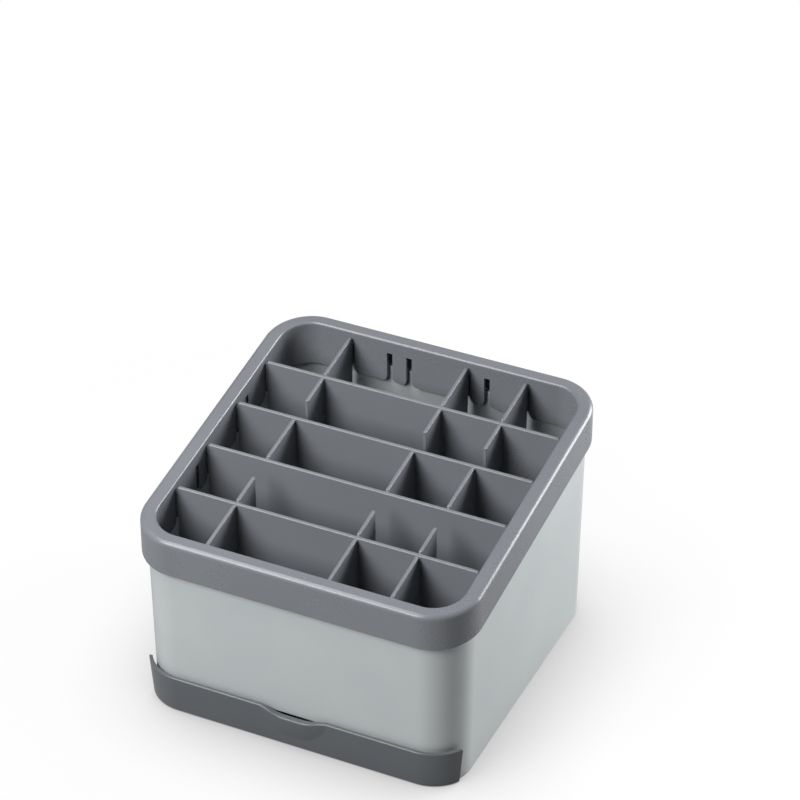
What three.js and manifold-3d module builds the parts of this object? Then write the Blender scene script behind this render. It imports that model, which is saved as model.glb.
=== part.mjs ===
// A worktop organizer for cooking utensils, in millimetres.
// A tapered housing stands on the table and carries a sloping rim frame, where three dividers are clipped in.
// Handles stand on a drain plate, and what drips through it falls into a tray that pulls out at the front.
// X runs to the right along the front, Y to the back and Z up. The origin is on the table, under the middle.

import * as THREE from "three";
import { mergeVertices } from "three/addons/utils/BufferGeometryUtils.js";
import Module from "manifold-3d";

// Outside of the whole organizer
const rimWidth = 199.6;
const rimDepth = 199;
const rimCornerRadius = 27;
const frontHeight = 118.4;
const backHeight = 145.2;

// Rim frame: heights here are measured straight down from its top
const rimTopWidth = 9;
const rimTopThickness = 2.6;
const bandHeight = 22.2;
const bandWall = 2.4;
const skirtDepth = 27.8;
const skirtWall = 2.2;
const outerEdgeRadius = 2;
const mouthEdgeRadius = 1;
const slotWidth = 3.3;
const slotTopDrop = 8.6;
const slotLeadRadius = 3.4;
const tongueWidth = 8.8;
const nubReach = 1.1;
const nubHeight = 1.6;
const nubRise = 3.8;
const rimRibThickness = 1.6;
const rimRibShares = [0.1, 0.5, 0.9];

// Housing
const housingWall = 2.2;
const housingDraft = THREE.MathUtils.degToRad(0.8);
const housingTopDrop = 20;
const frontOpeningHeight = 20.4;
const frontOpeningDepth = 14.7;
const ledgeRise = 1;
const ledgeWidth = 3;
const ledgeThickness = 2;

// Drain plate
const plateThickness = 2;
const drainSlotWidth = 4.5;
const drainSlotLength = 24;
const drainSlotsPerCell = 2;

// Dividers: their columns and rows share out the rim's mouth, and their walls stand in these columns
const gridColumns = 5;
const gridRows = 5;
const dividerThickness = 2;
const dividerDepth = 55;
const dividerTopDrop = 3.2;
const topCornerCut = 1;
const crossedColumns = [1, 3, 4];
const stubLengthShare = 0.6;

// Drip tray
const trayFloor = 2;
const trayWall = 2;
const trayWallHeight = 17;
const lipHeight = 24.2;
const lipThickness = 2;
const lipLean = THREE.MathUtils.degToRad(4.3);
const lipEdgeRadius = 0.9;
const lipFootRadius = 1;
const lipReturnThickness = 2.4;
const pullWidth = 41;
const pullShoulderShare = 0.2;
const pullDip = 2.6;
const pullFlare = 0.9;

// Clearances
const tableGap = 0.3;
const seatGap = 0.3;
const slideGap = 0.6;
const bandGap = 0.9;
const wallEndGap = 0.7;
const lipGap = 1.7;
const cutOverrun = 4;

// Steps of curved outlines
const cornerSteps = 8;
const edgeSteps = 3;
const pullSteps = 16;
const flareSteps = 4;
const drainEndSteps = 4;

// Places that several pieces share
const cornerCentreX = rimWidth / 2 - rimCornerRadius;
const cornerCentreY = rimDepth / 2 - rimCornerRadius;
const mouthWidth = rimWidth - 2 * rimTopWidth;
const mouthDepth = rimDepth - 2 * rimTopWidth;
const mouthRadius = rimCornerRadius - rimTopWidth;
const slope = (backHeight - frontHeight) / mouthDepth;
const middleHeight = (frontHeight + backHeight) / 2;
const columnPitch = mouthWidth / gridColumns;
const rowPitch = mouthDepth / gridRows;
const draftGrowth = Math.tan(housingDraft);
const housingBackHeight = backHeight - housingTopDrop;
const footRadius = rimCornerRadius - bandWall - bandGap - draftGrowth * housingBackHeight;
const ledgeBottom = frontOpeningHeight + ledgeRise;
const ledgeTop = ledgeBottom + ledgeThickness;
const openingBackY = frontOpeningDepth - rimDepth / 2;

const wasm = await Module();
wasm.setup();

// A solid for cutting and joining, from a geometry whose shared vertices are merged
function toSolid(geometry) {
  const bare = geometry.clone();
  bare.deleteAttribute("normal");
  bare.deleteAttribute("uv");
  const merged = mergeVertices(bare);
  const vertProperties = new Float32Array(merged.attributes.position.array);
  const triVerts = new Uint32Array(merged.index.array);
  return new wasm.Manifold(new wasm.Mesh({ numProp: 3, vertProperties, triVerts }));
}

function toGeometry(solid) {
  const mesh = solid.getMesh();
  const geometry = new THREE.BufferGeometry();
  geometry.setAttribute("position", new THREE.BufferAttribute(new Float32Array(mesh.vertProperties), 3));
  geometry.setIndex(new THREE.BufferAttribute(new Uint32Array(mesh.triVerts), 1));
  return geometry;
}

function joinAll(geometries) {
  return geometries.map(toSolid).reduce((whole, piece) => whole.add(piece));
}

function boxBetween(fromX, toX, fromY, toY, fromZ, toZ) {
  const geometry = new THREE.BoxGeometry(toX - fromX, toY - fromY, toZ - fromZ);
  return geometry.translate((fromX + toX) / 2, (fromY + toY) / 2, (fromZ + toZ) / 2);
}

// A plate whose outline is drawn in X and Z, with its thickness along Y, centred on Y = 0
function uprightPlate(outline, thickness) {
  const shape = new THREE.Shape(outline);
  const geometry = new THREE.ExtrudeGeometry(shape, { depth: thickness, bevelEnabled: false });
  return geometry.rotateX(Math.PI / 2).translate(0, thickness / 2, 0);
}

// Skins a row of rings that have the same number of points, and closes its two ends with flat caps.
// A closed loft joins its last ring to its first instead, like a bent tube.
function loft(rings, closed = false) {
  const count = rings[0].length;
  const index = [];
  const spans = closed ? rings.length : rings.length - 1;
  for (let ring = 0; ring < spans; ring += 1) {
    const here = ring * count;
    const next = ((ring + 1) % rings.length) * count;
    for (let k = 0; k < count; k += 1) {
      const after = (k + 1) % count;
      index.push(here + k, here + after, next + after);
      index.push(here + k, next + after, next + k);
    }
  }
  if (!closed) {
    const last = spans * count;
    for (const [a, b, c] of capTriangles(rings[0])) {
      index.push(a, c, b);
      index.push(last + a, last + b, last + c);
    }
  }
  const geometry = new THREE.BufferGeometry().setFromPoints(rings.flat());
  geometry.setIndex(index);
  return facingOut(geometry);
}

// Cuts a flat ring into triangles, drawn in two directions of its own plane
function capTriangles(ring) {
  const normal = new THREE.Vector3();
  ring.forEach((point, k) => normal.add(point.clone().cross(ring[(k + 1) % ring.length])));
  normal.normalize();
  const along = ring[1].clone().sub(ring[0]).normalize();
  const across = normal.clone().cross(along);
  const flat = ring.map((point) => new THREE.Vector2(point.dot(along), point.dot(across)));
  return THREE.ShapeUtils.triangulateShape(flat, []);
}

// Turns the faces over where the surface encloses a negative volume
function facingOut(geometry) {
  const position = geometry.attributes.position;
  const index = geometry.index.array;
  const corner = (k) => new THREE.Vector3().fromBufferAttribute(position, index[k]);
  let volume = 0;
  for (let k = 0; k < index.length; k += 3) {
    volume += corner(k).dot(corner(k + 1).cross(corner(k + 2)));
  }
  if (volume < 0) {
    for (let k = 0; k < index.length; k += 3) {
      [index[k + 1], index[k + 2]] = [index[k + 2], index[k + 1]];
    }
  }
  return geometry;
}

// A rounded rectangle, radius outwards from the four corner centres that every moulding shares.
// heightAt gives a point's height from its Y, and growth widens the ring with height, as a draft does.
function roundedRing(radius, heightAt, growth = 0) {
  const points = [];
  for (let quarter = 0; quarter < 4; quarter += 1) {
    const centreX = quarter === 0 || quarter === 3 ? cornerCentreX : -cornerCentreX;
    const centreY = quarter < 2 ? cornerCentreY : -cornerCentreY;
    for (let step = 0; step <= cornerSteps; step += 1) {
      const angle = (quarter + step / cornerSteps) * Math.PI / 2;
      const point = new THREE.Vector3();
      for (let pass = 0; pass < 4; pass += 1) {
        const reach = radius + growth * point.z;
        point.x = centreX + reach * Math.cos(angle);
        point.y = centreY + reach * Math.sin(angle);
        point.z = heightAt(point.y);
      }
      points.push(point);
    }
  }
  return points;
}

function levelRing(radius, height, growth = 0) {
  return roundedRing(radius, () => height, growth);
}

// A quarter round in steps, from one angle to another, as pairs of numbers
function arcPoints(centreU, centreV, radius, fromAngle, toAngle) {
  const points = [];
  for (let step = 0; step <= edgeSteps; step += 1) {
    const angle = fromAngle + (toAngle - fromAngle) * step / edgeSteps;
    points.push(new THREE.Vector2(centreU + radius * Math.cos(angle), centreV + radius * Math.sin(angle)));
  }
  return points;
}

// The height of the sloping plane in which the mouth's edge lies
function slopeAt(y) {
  return middleHeight + slope * y;
}

// Slopes a piece that was modelled level, with its zero height in the plane of the mouth's edge
function alongTheSlope(solid) {
  const geometry = toGeometry(solid);
  geometry.applyMatrix4(new THREE.Matrix4().makeShear(0, 0, 0, slope, 0, 0));
  return geometry.translate(0, 0, middleHeight);
}

// The four sides of the mouth, from the back one round by the left: how long each is, how far out it lies,
// how far it is turned and in which of its slots a wall's tab sits
const allWalls = [1, 2, 3, 4];
const mirroredColumns = crossedColumns.map((column) => gridColumns - column);
const mouthSides = [
  { length: mouthWidth, distance: mouthDepth / 2, turn: 0, tabbed: crossedColumns },
  { length: mouthDepth, distance: mouthWidth / 2, turn: Math.PI / 2, tabbed: allWalls },
  { length: mouthWidth, distance: mouthDepth / 2, turn: Math.PI, tabbed: mirroredColumns },
  { length: mouthDepth, distance: mouthWidth / 2, turn: -Math.PI / 2, tabbed: allWalls },
];

// Housing: a tapered shell with an open top that follows the slope, an opening for the tray at the front
// and a ledge inside for the drain plate
function makeHousing() {
  const topAt = (y) => slopeAt(y) - housingTopDrop;
  const innerRadius = footRadius - housingWall;
  const ledgeRadius = innerRadius - ledgeWidth;
  const shell = loft([
    levelRing(footRadius, 0, draftGrowth),
    roundedRing(footRadius, topAt, draftGrowth),
    roundedRing(innerRadius, topAt, draftGrowth),
    levelRing(innerRadius, ledgeTop, draftGrowth),
    levelRing(ledgeRadius, ledgeTop, draftGrowth),
    levelRing(ledgeRadius, ledgeBottom, draftGrowth),
    levelRing(innerRadius, ledgeBottom, draftGrowth),
    levelRing(innerRadius, 0, draftGrowth),
  ], true);
  const trayOpening = boxBetween(
    -rimWidth / 2, rimWidth / 2,
    -rimDepth / 2, openingBackY,
    -cutOverrun, frontOpeningHeight,
  );
  return toGeometry(toSolid(shell).subtract(toSolid(trayOpening)));
}

// Drain plate: lies on the housing's ledge, with round-ended slots under every cell
function makeDrainPlate() {
  const radius = footRadius + draftGrowth * ledgeTop - housingWall - seatGap;
  const shape = new THREE.Shape(levelRing(radius, 0).map((point) => new THREE.Vector2(point.x, point.y)));
  const slotPitch = columnPitch / drainSlotsPerCell;
  for (let column = 0; column < gridColumns * drainSlotsPerCell; column += 1) {
    for (let row = 0; row < gridRows; row += 1) {
      const x = (column + 1 / 2) * slotPitch - mouthWidth / 2;
      const y = (row + 1 / 2) * rowPitch - mouthDepth / 2;
      shape.holes.push(new THREE.Path(drainSlotOutline(x, y)));
    }
  }
  const geometry = new THREE.ExtrudeGeometry(shape, { depth: plateThickness, bevelEnabled: false });
  return geometry.translate(0, 0, ledgeTop + seatGap);
}

function drainSlotOutline(x, y) {
  const radius = drainSlotWidth / 2;
  const reach = drainSlotLength / 2 - radius;
  const points = [];
  for (const end of [1, -1]) {
    for (let step = 0; step <= drainEndSteps; step += 1) {
      const angle = Math.PI * step / drainEndSteps;
      const across = end * radius * Math.cos(angle);
      const along = end * (reach + radius * Math.sin(angle));
      points.push(new THREE.Vector2(x + across, y + along));
    }
  }
  return points;
}

// Rim frame: an upside-down channel over the housing's edge, with the band outside and the skirt inside.
// Its section is carried level round the mouth: the top is level at the front and back, and slopes at the sides.
function makeRimFrame() {
  const bandInside = rimCornerRadius - bandWall;
  const skirtOutside = mouthRadius + skirtWall;
  const profile = [
    new THREE.Vector2(rimCornerRadius, -bandHeight),
    ...arcPoints(rimCornerRadius - outerEdgeRadius, -outerEdgeRadius, outerEdgeRadius, 0, Math.PI / 2),
    ...arcPoints(mouthRadius + mouthEdgeRadius, -mouthEdgeRadius, mouthEdgeRadius, Math.PI / 2, Math.PI),
    new THREE.Vector2(mouthRadius, -skirtDepth),
    new THREE.Vector2(skirtOutside, -skirtDepth),
    new THREE.Vector2(skirtOutside, -rimTopThickness),
    new THREE.Vector2(bandInside, -rimTopThickness),
    new THREE.Vector2(bandInside, -bandHeight),
  ];
  const channel = toSolid(loft(profile.map((point) => mouthRing(point.x, point.y)), true));
  const ribs = toSolid(alongTheSlope(joinAll(mouthSides.flatMap(makeRimRibs))));
  const slots = toSolid(alongTheSlope(joinAll(mouthSides.flatMap(makeSkirtSlots))));
  return toGeometry(channel.add(ribs).subtract(slots));
}

// A ring whose points have the height of the mouth's edge beside them, and a rise above that
function mouthRing(radius, rise) {
  const edge = roundedRing(mouthRadius, slopeAt);
  const ring = levelRing(radius, 0);
  ring.forEach((point, k) => point.setZ(edge[k].z + rise));
  return ring;
}

// Ribs across the channel, which rest on the housing's top edge
function makeRimRibs(side) {
  const hold = skirtWall / 2;
  const from = side.distance + skirtWall - hold;
  const to = side.distance + rimTopWidth - bandWall + hold;
  return rimRibShares.map((share) => {
    const middle = (share - 1 / 2) * side.length;
    const rib = boxBetween(
      middle - rimRibThickness / 2, middle + rimRibThickness / 2,
      from, to,
      seatGap - housingTopDrop, -rimTopThickness / 2,
    );
    return rib.rotateZ(side.turn);
  });
}

// Slots in one side of the skirt: one for each place where a wall can end, with a nub where a tab sits,
// and one more beside each of the two middle ones, which frees a springy tongue between them
function makeSkirtSlots(side) {
  const pitch = side.length / gridColumns;
  const slots = [];
  for (let wall = 1; wall < gridColumns; wall += 1) {
    const middle = wall * pitch - side.length / 2;
    const hand = Math.sign(middle);
    slots.push({ middle, nubSide: side.tabbed.includes(wall) ? hand : 0 });
    if (Math.abs(middle) < pitch) {
      slots.push({ middle: middle + hand * (tongueWidth + slotWidth), nubSide: 0 });
    }
  }
  return slots.map(({ middle, nubSide }) => {
    const cutter = uprightPlate(skirtSlotOutline(nubSide), rimTopWidth - bandWall);
    return cutter.translate(middle, side.distance, 0).rotateZ(side.turn);
  });
}

// A slot's outline: rounded lead-ins at the foot, and on one side a nub that holds the wall's tab up
function skirtSlotOutline(nubSide) {
  const half = slotWidth / 2;
  const foot = -skirtDepth;
  const right = [
    new THREE.Vector2(half + slotLeadRadius, foot - cutOverrun),
    ...arcPoints(half + slotLeadRadius, foot + slotLeadRadius, slotLeadRadius, -Math.PI / 2, -Math.PI),
  ];
  const nub = [
    new THREE.Vector2(half, foot + nubRise),
    new THREE.Vector2(half - nubReach, foot + nubRise + nubReach),
    new THREE.Vector2(half - nubReach, foot + nubRise + nubHeight),
    new THREE.Vector2(half, foot + nubRise + nubHeight),
  ];
  const top = new THREE.Vector2(half, -slotTopDrop);
  const mirrored = (points) => points.map((point) => new THREE.Vector2(-point.x, point.y)).reverse();
  const rightHalf = [...right, ...(nubSide > 0 ? nub : []), top];
  const leftHalf = [...right, ...(nubSide < 0 ? nub : []), top];
  return [...rightHalf, ...mirrored(leftHalf)];
}

// Dividers: walls from side to side, crossed in the first, third and last rows by walls from front to back.
// The front and back dividers also have stubs, which leave a free lane beside the middle divider.
function makeDivider(walls, stretches) {
  const half = mouthWidth / 2;
  const acrossOutline = wallOutline({ from: -half, to: half, fromTab: true, toTab: true });
  const across = walls.map((wall) => {
    return uprightPlate(acrossOutline, dividerThickness).translate(0, rowEdge(wall), 0);
  });
  const crosswise = crossedColumns.flatMap((column) => stretches.map((stretch) => {
    const wall = uprightPlate(wallOutline(stretch), dividerThickness).rotateZ(Math.PI / 2);
    return wall.translate(column * columnPitch - half, 0, 0);
  }));
  return alongTheSlope(joinAll([...across, ...crosswise]));
}

function rowEdge(row) {
  return row * rowPitch - mouthDepth / 2;
}

function makeFrontDivider() {
  return makeDivider([1], [
    { from: rowEdge(0), to: rowEdge(1), fromTab: true, toTab: false },
    { from: rowEdge(1), to: rowEdge(1) + stubLengthShare * rowPitch, fromTab: false, toTab: false },
  ]);
}

function makeMiddleDivider() {
  return makeDivider([2, 3], [
    { from: rowEdge(2), to: rowEdge(3), fromTab: false, toTab: false },
  ]);
}

function makeBackDivider() {
  return makeDivider([4], [
    { from: rowEdge(4) - stubLengthShare * rowPitch, to: rowEdge(4), fromTab: false, toTab: false },
    { from: rowEdge(4), to: rowEdge(5), fromTab: false, toTab: true },
  ]);
}

// One wall seen from its side. An end at the skirt stops just short of it, and its tab enters a slot.
function wallOutline({ from, to, fromTab, toTab }) {
  const top = -dividerTopDrop;
  const bottom = top - dividerDepth;
  const tabTop = -slotTopDrop - seatGap;
  const tabBottom = nubRise + nubHeight + seatGap - skirtDepth;
  const endPoints = (end, outwards, tabbed) => {
    if (!tabbed) {
      return [new THREE.Vector2(end, bottom), new THREE.Vector2(end, top)];
    }
    const wallEnd = end - outwards * wallEndGap;
    const tabEnd = end + outwards * skirtWall;
    return [
      new THREE.Vector2(wallEnd, bottom),
      new THREE.Vector2(wallEnd, tabBottom),
      new THREE.Vector2(tabEnd, tabBottom),
      new THREE.Vector2(tabEnd, tabTop),
      new THREE.Vector2(wallEnd, tabTop),
      new THREE.Vector2(wallEnd, top - topCornerCut),
      new THREE.Vector2(wallEnd - outwards * topCornerCut, top),
    ];
  };
  return [...endPoints(to, 1, toTab), ...endPoints(from, -1, fromTab).reverse()];
}

// Drip tray: a shallow basin that slides between the housing's sides, and a leaning lip that closes the opening.
// The basin is as wide as the housing is inside, measured at the back of the opening that it slides through.
function makeDripTray() {
  const insideRadius = footRadius - housingWall;
  const basinRadius = Math.sqrt(insideRadius ** 2 - (cornerCentreY + openingBackY) ** 2) - slideGap;
  const basinStretch = insideRadius - slideGap - basinRadius;
  const basinRing = (inset, height) => {
    const ring = levelRing(basinRadius - inset, height);
    return ring.map((point) => point.setY(point.y + Math.sign(point.y) * basinStretch));
  };
  const floorTop = tableGap + trayFloor;
  const lipEndY = openingBackY - slideGap;
  const returnFrontY = lipEndY - lipReturnThickness;
  const far = rimWidth + rimDepth;
  const behind = (y) => toSolid(boxBetween(-far, far, y, far, -far, far));
  const inFront = (y) => toSolid(boxBetween(-far, far, -far, y, -far, far));

  const lip = toSolid(makeLip()).subtract(behind(lipEndY));
  const floorRadius = lipRadiusAt(tableGap) - (lipThickness + lipFootRadius) / 2;
  const frontFloor = toSolid(loft([
    levelRing(floorRadius, tableGap),
    levelRing(floorRadius, floorTop),
  ])).intersect(inFront(lipEndY));
  const basin = toSolid(loft([
    basinRing(0, tableGap),
    basinRing(0, tableGap + trayWallHeight),
  ]));
  const hollow = toSolid(loft([
    basinRing(trayWall, floorTop),
    basinRing(trayWall, trayWallHeight + cutOverrun),
  ]));
  const rearBasin = basin.subtract(hollow).intersect(behind(returnFrontY));
  const returnOutside = toSolid(loft([
    levelRing(lipRadiusAt(tableGap) - lipThickness / 2, tableGap),
    levelRing(lipRadiusAt(tableGap + trayWallHeight) - lipThickness / 2, tableGap + trayWallHeight),
  ]));
  const returnInside = toSolid(loft([
    basinRing(trayWall / 2, -cutOverrun),
    basinRing(trayWall / 2, trayWallHeight + cutOverrun),
  ]));
  const bridge = returnOutside.subtract(returnInside);
  const returns = bridge.intersect(behind(returnFrontY)).intersect(inFront(lipEndY));
  return toGeometry(lip.add(frontFloor).add(rearBasin).add(returns));
}

// How far the lip's outer face lies from the corner centres at a height
function lipRadiusAt(height) {
  const housingRadius = footRadius + draftGrowth * frontOpeningHeight;
  return housingRadius + lipGap + lipThickness + (height - frontOpeningHeight) * Math.tan(lipLean);
}

// The lip: one section carried round the two front corners. At the finger pull its edge dips between two
// shoulders, and flares outwards most in the middle.
function makeLip() {
  const rings = [];
  const wave = (share) => (1 - Math.cos(2 * Math.PI * share)) / 2;
  const addRing = (baseX, angle, dip, flare) => {
    const outwards = new THREE.Vector2(Math.cos(angle), Math.sin(angle));
    rings.push(lipSection(dip, flare).map((point) => new THREE.Vector3(
      baseX + point.x * outwards.x,
      -cornerCentreY + point.x * outwards.y,
      point.y,
    )));
  };
  for (let step = 0; step <= cornerSteps; step += 1) {
    addRing(-cornerCentreX, Math.PI * (1 + step / cornerSteps / 2), 0, 0);
  }
  for (let step = 0; step <= pullSteps; step += 1) {
    const share = step / pullSteps;
    const shoulder = Math.min(1, share / pullShoulderShare, (1 - share) / pullShoulderShare);
    const dip = wave(shoulder / 2) * pullDip;
    const flare = wave(share) * pullFlare;
    addRing((share - 1 / 2) * pullWidth, -Math.PI / 2, dip, flare);
  }
  for (let step = 0; step <= cornerSteps; step += 1) {
    addRing(cornerCentreX, Math.PI * (step / cornerSteps - 1) / 2, 0, 0);
  }
  return loft(rings);
}

// The lip's section, as distance from the corner centre and height, its edge lowered and flared by so much
function lipSection(dip, flare) {
  const bottom = tableGap;
  const top = lipHeight - dip;
  const flareAt = (height) => flare * ((height - bottom) / (top - bottom)) ** 2;
  const outerAt = (height) => lipRadiusAt(height) + flareAt(height);
  const edgeHeight = top - lipEdgeRadius;
  const footHeight = bottom + lipFootRadius;
  const levels = [];
  for (let step = 1; step < flareSteps; step += 1) {
    levels.push(footHeight + (edgeHeight - footHeight) * step / flareSteps);
  }
  return [
    new THREE.Vector2(outerAt(bottom) - lipThickness, bottom),
    ...arcPoints(outerAt(footHeight) - lipFootRadius, footHeight, lipFootRadius, -Math.PI / 2, 0),
    ...levels.map((height) => new THREE.Vector2(outerAt(height), height)),
    ...arcPoints(outerAt(edgeHeight) - lipEdgeRadius, edgeHeight, lipEdgeRadius, 0, Math.PI / 2),
    new THREE.Vector2(outerAt(top) - lipThickness, top),
    ...levels.reverse().map((height) => new THREE.Vector2(outerAt(height) - lipThickness, height)),
  ];
}

function makePiece(name, geometry, look) {
  const material = new THREE.MeshStandardMaterial(look);
  geometry.computeVertexNormals();
  const mesh = new THREE.Mesh(geometry, material);
  mesh.name = name;
  return mesh;
}

const organizer = new THREE.Group();

// The parts that stay on the table
const base = new THREE.Group();
base.add(makePiece("housing", makeHousing(), { color: 0xb3b8b9, roughness: 0.55, metalness: 0 }));
base.add(makePiece("drain_plate", makeDrainPlate(), { color: 0x9da2a4, roughness: 0.55, metalness: 0 }));
organizer.add(base);

// The insert, which lifts off as one
const insert = new THREE.Group();
insert.add(makePiece("rim_frame", makeRimFrame(), { color: 0x7a7e83, roughness: 0.5, metalness: 0 }));
insert.add(makePiece("front_divider", makeFrontDivider(), { color: 0x6b6f74, roughness: 0.5, metalness: 0 }));
insert.add(makePiece("middle_divider", makeMiddleDivider(), { color: 0x6b6f74, roughness: 0.5, metalness: 0 }));
insert.add(makePiece("back_divider", makeBackDivider(), { color: 0x6b6f74, roughness: 0.5, metalness: 0 }));
organizer.add(insert);

organizer.add(makePiece("drip_tray", makeDripTray(), { color: 0x575b5f, roughness: 0.5, metalness: 0 }));

export default organizer;
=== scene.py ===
"""Worktop organizer for cooking utensils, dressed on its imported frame. Metres, +Z up, +Y back."""

import math

import bmesh
import bpy
from mathutils import Matrix, Vector


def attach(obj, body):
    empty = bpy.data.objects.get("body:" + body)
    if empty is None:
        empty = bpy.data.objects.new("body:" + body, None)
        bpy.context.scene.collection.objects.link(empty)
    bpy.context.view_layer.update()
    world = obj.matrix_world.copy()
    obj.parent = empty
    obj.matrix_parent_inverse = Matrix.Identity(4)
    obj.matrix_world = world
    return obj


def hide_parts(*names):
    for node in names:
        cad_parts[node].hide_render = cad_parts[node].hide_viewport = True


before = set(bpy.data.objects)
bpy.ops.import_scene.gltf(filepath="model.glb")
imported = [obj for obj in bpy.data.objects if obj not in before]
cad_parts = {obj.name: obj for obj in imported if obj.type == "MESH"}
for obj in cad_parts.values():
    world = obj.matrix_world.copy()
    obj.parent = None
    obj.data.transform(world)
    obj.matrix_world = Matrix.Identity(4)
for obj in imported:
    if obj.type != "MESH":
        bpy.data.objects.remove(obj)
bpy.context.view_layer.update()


# Housing
# The outer box, injection moulded in light grey polypropylene, a little wider at the top so that
# it leaves its mould. It is open at the front for the tray, has a ledge inside for the drain plate
# and stands on its bottom edge. Its top edge is hidden in the rim frame's channel.
MM = 0.001
SEAT_GAP = 0.3 * MM
CELLS = 5
RIM_WIDTH = 199.6 * MM
RIM_DEPTH = 199 * MM
RIM_RADIUS = 27 * MM
RIM_TOP_WIDTH = 9 * MM
FRONT_HEIGHT = 118.4 * MM
BACK_HEIGHT = 145.2 * MM
CORNER_X = RIM_WIDTH / 2 - RIM_RADIUS
CORNER_Y = RIM_DEPTH / 2 - RIM_RADIUS
CORNER_STEPS = 20
MOUTH_WIDTH = RIM_WIDTH - 2 * RIM_TOP_WIDTH
MOUTH_DEPTH = RIM_DEPTH - 2 * RIM_TOP_WIDTH
SLOPE = (BACK_HEIGHT - FRONT_HEIGHT) / MOUTH_DEPTH
MIDDLE_HEIGHT = (BACK_HEIGHT + FRONT_HEIGHT) / 2
BAND_WALL = 2.4 * MM
BAND_GAP = 0.9 * MM
HOUSING_TOP_DROP = 20 * MM
HOUSING_DRAFT = math.tan(math.radians(0.8))
DRAFT_AT_TOP = HOUSING_DRAFT * (BACK_HEIGHT - HOUSING_TOP_DROP)
FOOT_RADIUS = RIM_RADIUS - BAND_WALL - BAND_GAP - DRAFT_AT_TOP
HOUSING_WALL = 2.2 * MM
OPENING_TOP = 20.4 * MM
OPENING_DEPTH = 14.7 * MM
OPENING_BACK_Y = OPENING_DEPTH - RIM_DEPTH / 2
LEDGE_RISE = 1 * MM
LEDGE_THICKNESS = 2 * MM
LEDGE_WIDTH = 3 * MM
LEDGE_BOTTOM = OPENING_TOP + LEDGE_RISE
LEDGE_TOP = LEDGE_BOTTOM + LEDGE_THICKNESS
BELOW_TABLE = -10 * MM
BEYOND_HOUSING = 120 * MM
MERGE_DISTANCE = 0.002 * MM
FLAT_ANGLE = math.radians(0.3)
ROUNDED_ANGLE = math.radians(32)
SHARP_ANGLE = math.radians(60)
HOUSING_EDGE_RADIUS = 0.45 * MM
HOUSING_GREY = "B9BEBF"
HOUSING_GREY_DEEP = "B5BABC"
HOUSING_ROUGHNESS = 0.3
HOUSING_GRAIN_DEPTH = 0.0008 * MM


def rounded_ring(radius, height_at, growth=0.0):
    """A rounded rectangle about the four corner centres that all the mouldings share.

    height_at gives a point's height from its Y, and growth widens the ring with its height."""
    ring = []
    for quarter in range(4):
        centre_x = CORNER_X if quarter in (0, 3) else -CORNER_X
        centre_y = CORNER_Y if quarter < 2 else -CORNER_Y
        for step in range(CORNER_STEPS + 1):
            angle = (quarter + step / CORNER_STEPS) * math.pi / 2
            # The height and the reach depend on each other, and a few rounds settle them
            height = 0.0
            for _ in range(4):
                reach = radius + growth * height
                x = centre_x + reach * math.cos(angle)
                y = centre_y + reach * math.sin(angle)
                height = height_at(y)
            ring.append(Vector((x, y, height)))
    return ring


def level_ring(radius, height, growth=0.0):
    """The same rounded rectangle, all at one height."""
    return rounded_ring(radius, lambda y: height, growth)


def skin(rings, closed=False):
    """A mesh over rings of equally many points, capped at both ends or closed like a bent tube."""
    shell = bmesh.new()
    rows = [[shell.verts.new(point) for point in ring] for ring in rings]
    count = len(rings[0])
    for here, after in zip(rows, rows[1:] + (rows[:1] if closed else [])):
        for k in range(count):
            following = (k + 1) % count
            shell.faces.new((here[k], here[following], after[following], after[k]))
    if not closed:
        shell.faces.new(rows[0])
        shell.faces.new(rows[-1])
    bmesh.ops.recalc_face_normals(shell, faces=shell.faces)
    mesh = bpy.data.meshes.new("shell")
    shell.to_mesh(mesh)
    shell.free()
    return mesh


def block(low, high):
    """A square-edged cutter between two corners."""
    shell = bmesh.new()
    bmesh.ops.create_cube(shell, size=1)
    low, high = Vector(low), Vector(high)
    for vertex in shell.verts:
        vertex.co = Vector(a + (b - a) * (c + 0.5) for a, b, c in zip(low, high, vertex.co))
    mesh = bpy.data.meshes.new("block")
    shell.to_mesh(mesh)
    shell.free()
    return mesh


def place(name, mesh):
    """Puts a mesh into the scene as an object at the origin."""
    piece = bpy.data.objects.new(name, mesh)
    bpy.context.scene.collection.objects.link(piece)
    return piece


def settle(piece):
    """Turns the piece and its modifiers into a plain mesh."""
    graph = bpy.context.evaluated_depsgraph_get()
    mesh = bpy.data.meshes.new_from_object(piece.evaluated_get(graph))
    piece.modifiers.clear()
    piece.data = mesh


def combine(piece, other_mesh, operation):
    """Joins another mesh to the piece, or cuts it away or down to it."""
    other = place("other", other_mesh)
    modifier = piece.modifiers.new("combine", "BOOLEAN")
    modifier.operation = operation
    modifier.solver = "EXACT"
    modifier.object = other
    settle(piece)
    bpy.data.objects.remove(other)


def round_edges(piece, radius, segments=3):
    """Merges the flat faces, rounds the edges as a mould does and makes the shading smooth."""
    merged = bmesh.new()
    merged.from_mesh(piece.data)
    bmesh.ops.remove_doubles(merged, verts=merged.verts, dist=MERGE_DISTANCE)
    bmesh.ops.dissolve_limit(merged, angle_limit=FLAT_ANGLE, verts=merged.verts, edges=merged.edges)
    merged.to_mesh(piece.data)
    merged.free()
    bevel = piece.modifiers.new("edges", "BEVEL")
    bevel.width = radius
    bevel.segments = segments
    bevel.limit_method = "ANGLE"
    bevel.angle_limit = ROUNDED_ANGLE
    bevel.use_clamp_overlap = True
    settle(piece)
    piece.data.shade_smooth()
    piece.data.set_sharp_from_angle(angle=SHARP_ANGLE)
    normals = piece.modifiers.new("normals", "WEIGHTED_NORMAL")
    normals.keep_sharp = True
    settle(piece)


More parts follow.
